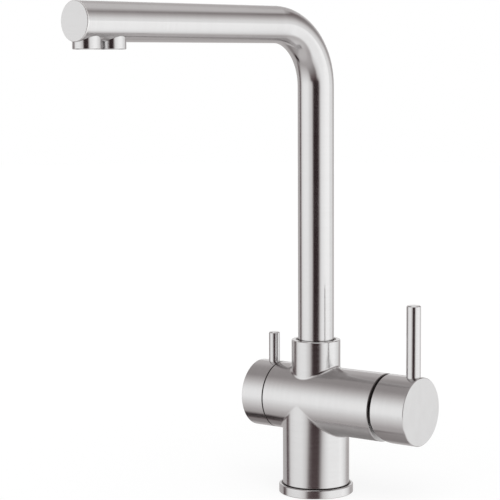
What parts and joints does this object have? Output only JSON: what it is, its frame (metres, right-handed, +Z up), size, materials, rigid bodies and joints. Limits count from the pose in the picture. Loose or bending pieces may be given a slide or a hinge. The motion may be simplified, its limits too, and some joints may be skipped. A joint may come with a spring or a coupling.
{
  "type": "kitchen sink mixer",
  "caption": "Tall L-spout kitchen mixer on a cross-shaped body, with a mixing lever, a filtered-water handle and separate outlets.",
  "frame": {"origin": "on the worktop, in the middle of the base ring", "axes": "+Z up along the trunk; +X along the cross tube towards the mixing lever; -Y towards the user"},
  "size_m": [0.1291, 0.2339, 0.3255],
  "materials": {
    "brushed_steel": "fine brushed",
    "bright_steel": "bright",
    "brass": "machined",
    "ceramic": "lapped",
    "rubber": "matt",
    "white_plastic": "moulded",
    "grey_plastic": "moulded"
  },
  "bodies": {
    "body": {"body_casting": "brushed_steel", "base_ring": "brushed_steel", "base_gasket": "rubber", "cartridge_base": "white_plastic", "cartridge_port_seals": "rubber", "mixer_fixed_disc": "ceramic", "cartridge_case": "white_plastic", "case_oring": "rubber", "cartridge_nut": "brass", "dome_cover": "bright_steel", "filter_seat_seal": "rubber", "filter_valve_body": "brass", "valve_body_oring": "rubber", "filter_fixed_disc": "ceramic", "filter_nipple": "brass", "nipple_oring": "rubber", "spout_glide_ring": "white_plastic", "spout_retaining_screw": "bright_steel"},
    "turret": {"cartridge_rotor": "white_plastic", "stem_pivot_pin": "bright_steel"},
    "lever": {"cartridge_stem": "brass", "mixer_hub": "brushed_steel", "lever_rod": "brushed_steel", "hub_grub_screw": "bright_steel"},
    "disc": {"disc_carrier": "white_plastic", "mixer_moving_disc": "ceramic"},
    "filter_handle": {"filter_knob": "brushed_steel", "filter_rod": "brushed_steel", "knob_grub_screw": "bright_steel", "filter_spindle": "brass", "filter_moving_disc": "ceramic", "spindle_orings": "rubber", "spindle_clip": "bright_steel"},
    "spout": {"spout_tube": "brushed_steel", "spout_end_cap": "brushed_steel", "spout_spigot": "brass", "spigot_orings": "rubber", "filter_inner_tube": "white_plastic", "filter_tube_elbow": "white_plastic", "mixed_outlet_nozzle": "brushed_steel", "mixed_aerator": "grey_plastic", "mixed_aerator_washer": "rubber", "filter_outlet_nozzle": "brushed_steel", "filter_flow_former": "grey_plastic", "filter_former_washer": "rubber"}
  },
  "joints": [
    {"name": "mixer_turn", "type": "hinge", "parent": "body", "child": "turret", "pos_m": [0.05, 0, 0.0635], "axis": [1, 0, 0], "range_deg": [-45, 45]},
    {"name": "lever_tilt", "type": "hinge", "parent": "turret", "child": "lever", "pos_m": [0.05, 0, 0.0635], "axis": [0, 1, 0], "range_deg": [0, 12]},
    {"name": "disc_slide", "type": "slide", "parent": "turret", "child": "disc", "axis": [0, 0, 1], "range_m": [0, 0.0024]},
    {"name": "filter_turn", "type": "hinge", "parent": "body", "child": "filter_handle", "pos_m": [-0.0347, 0, 0.0635], "axis": [1, 0, 0], "range_deg": [0, 90]},
    {"name": "spout_swivel", "type": "hinge", "parent": "body", "child": "spout", "pos_m": [0, 0, 0.095], "axis": [0, 0, 1], "continuous": true}
  ],
  "couplings": [
    {"joint": "disc_slide", "follows": "lever_tilt", "m_per_rad": 0.0114}
  ]
}
